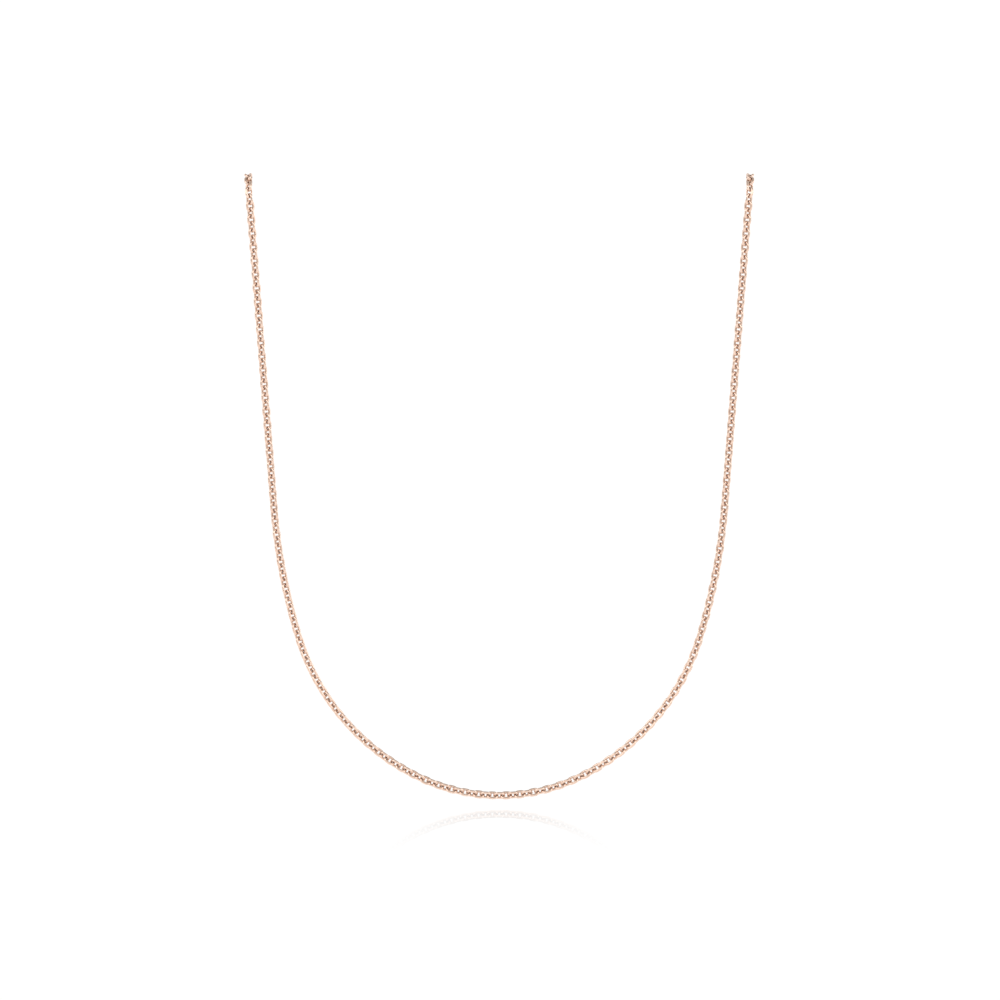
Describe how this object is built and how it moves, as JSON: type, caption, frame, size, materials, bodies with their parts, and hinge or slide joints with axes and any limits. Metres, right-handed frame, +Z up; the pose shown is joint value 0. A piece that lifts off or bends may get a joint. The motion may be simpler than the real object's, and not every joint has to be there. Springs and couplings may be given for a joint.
{
  "type": "chain necklace",
  "caption": "Fine cable-chain necklace of small oval links in rose gold, hanging in a long U from the neck and closed at the nape with a lobster clasp.",
  "frame": {"origin": "centre of the neck opening, level with the chain round the neck", "axes": "+X across the neck to the clasp side, +Y from the front to the nape, +Z up"},
  "size_m": [0.1008, 0.0525, 0.1253],
  "materials": {
    "chain_rose_gold": "polished rose gold",
    "clasp_rose_gold": "polished rose gold",
    "spring_steel": "plain steel"
  },
  "bodies": {
    "shoulders": {"shoulder_run_right": "chain_rose_gold", "shoulder_run_left": "chain_rose_gold"},
    "front_band_01": {"front_run_01_right": "chain_rose_gold", "front_run_01_left": "chain_rose_gold"},
    "front_band_02": {"front_run_02_right": "chain_rose_gold", "front_run_02_left": "chain_rose_gold"},
    "front_band_03": {"front_run_03_right": "chain_rose_gold", "front_run_03_left": "chain_rose_gold"},
    "front_band_04": {"front_run_04_right": "chain_rose_gold", "front_run_04_left": "chain_rose_gold"},
    "front_band_05": {"front_run_05_right": "chain_rose_gold", "front_run_05_left": "chain_rose_gold"},
    "front_band_06": {"front_run_06_right": "chain_rose_gold", "front_run_06_left": "chain_rose_gold"},
    "front_band_07": {"front_run_07_right": "chain_rose_gold", "front_run_07_left": "chain_rose_gold"},
    "front_band_08": {"front_run_08_right": "chain_rose_gold", "front_run_08_left": "chain_rose_gold"},
    "front_band_09": {"front_run_09_right": "chain_rose_gold", "front_run_09_left": "chain_rose_gold"},
    "front_band_10": {"front_run_10_right": "chain_rose_gold", "front_run_10_left": "chain_rose_gold"},
    "front_bottom": {"bottom_run": "chain_rose_gold"},
    "back_band_01": {"back_run_01_right": "chain_rose_gold", "back_run_01_left": "chain_rose_gold"},
    "back_band_02": {"back_run_02_right": "chain_rose_gold", "back_run_02_left": "chain_rose_gold"},
    "back_band_03": {"back_run_03_right": "chain_rose_gold", "back_run_03_left": "chain_rose_gold"},
    "back_band_04": {"back_run_04_right": "chain_rose_gold", "back_run_04_left": "chain_rose_gold"},
    "back_band_05": {"back_run_05_right": "chain_rose_gold", "back_run_05_left": "chain_rose_gold"},
    "jump_ring": {"jump_ring": "clasp_rose_gold"},
    "clasp": {"clasp_body": "clasp_rose_gold", "clasp_rivet": "clasp_rose_gold", "clasp_spring": "spring_steel"},
    "trigger": {"clasp_trigger": "clasp_rose_gold"},
    "end_ring": {"end_ring": "clasp_rose_gold"}
  },
  "joints": [
    {"name": "front_swing_01", "type": "hinge", "parent": "shoulders", "child": "front_band_01", "pos_m": [0, -0.02438, -0.00259], "axis": [-1, 0, 0], "range_deg": [-2, 12]},
    {"name": "front_swing_02", "type": "hinge", "parent": "front_band_01", "child": "front_band_02", "pos_m": [0, -0.02481, -0.01608], "axis": [-1, 0, 0], "range_deg": [-12, 12]},
    {"name": "front_swing_03", "type": "hinge", "parent": "front_band_02", "child": "front_band_03", "pos_m": [0, -0.02481, -0.02964], "axis": [-1, 0, 0], "range_deg": [-12, 12]},
    {"name": "front_swing_04", "type": "hinge", "parent": "front_band_03", "child": "front_band_04", "pos_m": [0, -0.02481, -0.0432], "axis": [-1, 0, 0], "range_deg": [-12, 12]},
    {"name": "front_swing_05", "type": "hinge", "parent": "front_band_04", "child": "front_band_05", "pos_m": [0, -0.02481, -0.05675], "axis": [-1, 0, 0], "range_deg": [-12, 12]},
    {"name": "front_swing_06", "type": "hinge", "parent": "front_band_05", "child": "front_band_06", "pos_m": [0, -0.02481, -0.0703], "axis": [-1, 0, 0], "range_deg": [-12, 12]},
    {"name": "front_swing_07", "type": "hinge", "parent": "front_band_06", "child": "front_band_07", "pos_m": [0, -0.02481, -0.08369], "axis": [-1, 0, 0], "range_deg": [-12, 12]},
    {"name": "front_swing_08", "type": "hinge", "parent": "front_band_07", "child": "front_band_08", "pos_m": [0, -0.02481, -0.09664], "axis": [-1, 0, 0], "range_deg": [-12, 12]},
    {"name": "front_swing_09", "type": "hinge", "parent": "front_band_08", "child": "front_band_09", "pos_m": [0, -0.02481, -0.10802], "axis": [-1, 0, 0], "range_deg": [-12, 12]},
    {"name": "front_swing_10", "type": "hinge", "parent": "front_band_09", "child": "front_band_10", "pos_m": [0, -0.02481, -0.11675], "axis": [-1, 0, 0], "range_deg": [-12, 12]},
    {"name": "front_swing_11", "type": "hinge", "parent": "front_band_10", "child": "front_bottom", "pos_m": [0, -0.02481, -0.12184], "axis": [-1, 0, 0], "range_deg": [-12, 12]},
    {"name": "back_lift_01", "type": "hinge", "parent": "shoulders", "child": "back_band_01", "pos_m": [0, -0.01183, 0], "axis": [1, 0, 0], "range_deg": [0, 14]},
    {"name": "back_lift_02", "type": "hinge", "parent": "back_band_01", "child": "back_band_02", "pos_m": [0, -0.00015, 0], "axis": [1, 0, 0], "range_deg": [0, 14]},
    {"name": "back_lift_03", "type": "hinge", "parent": "back_band_02", "child": "back_band_03", "pos_m": [0, 0.01008, 0], "axis": [1, 0, 0], "range_deg": [0, 14]},
    {"name": "back_lift_04", "type": "hinge", "parent": "back_band_03", "child": "back_band_04", "pos_m": [0, 0.01804, 0], "axis": [1, 0, 0], "range_deg": [0, 14]},
    {"name": "back_lift_05", "type": "hinge", "parent": "back_band_04", "child": "back_band_05", "pos_m": [0, 0.02308, 0], "axis": [1, 0, 0], "range_deg": [0, 14]},
    {"name": "jump_ring_turn", "type": "hinge", "parent": "back_band_05", "child": "jump_ring", "pos_m": [0, 0.02481, 0], "axis": [1, 0, 0], "range_deg": [-8, 8]},
    {"name": "clasp_turn", "type": "hinge", "parent": "jump_ring", "child": "clasp", "pos_m": [0, 0.02481, 0], "axis": [1, 0, 0], "range_deg": [-10, 10]},
    {"name": "end_ring_turn", "type": "hinge", "parent": "back_band_05", "child": "end_ring", "pos_m": [0, 0.02481, 0], "axis": [1, 0, 0], "range_deg": [-7, 7]},
    {"name": "trigger_press", "type": "hinge", "parent": "clasp", "child": "trigger", "pos_m": [0.00095, 0.02481, -0.00095], "axis": [0, 1, 0], "range_deg": [0, 28], "stiffness_Nm_per_rad": 0.0004, "springref_deg": -17.19, "deforming": ["clasp_spring"]}
  ]
}
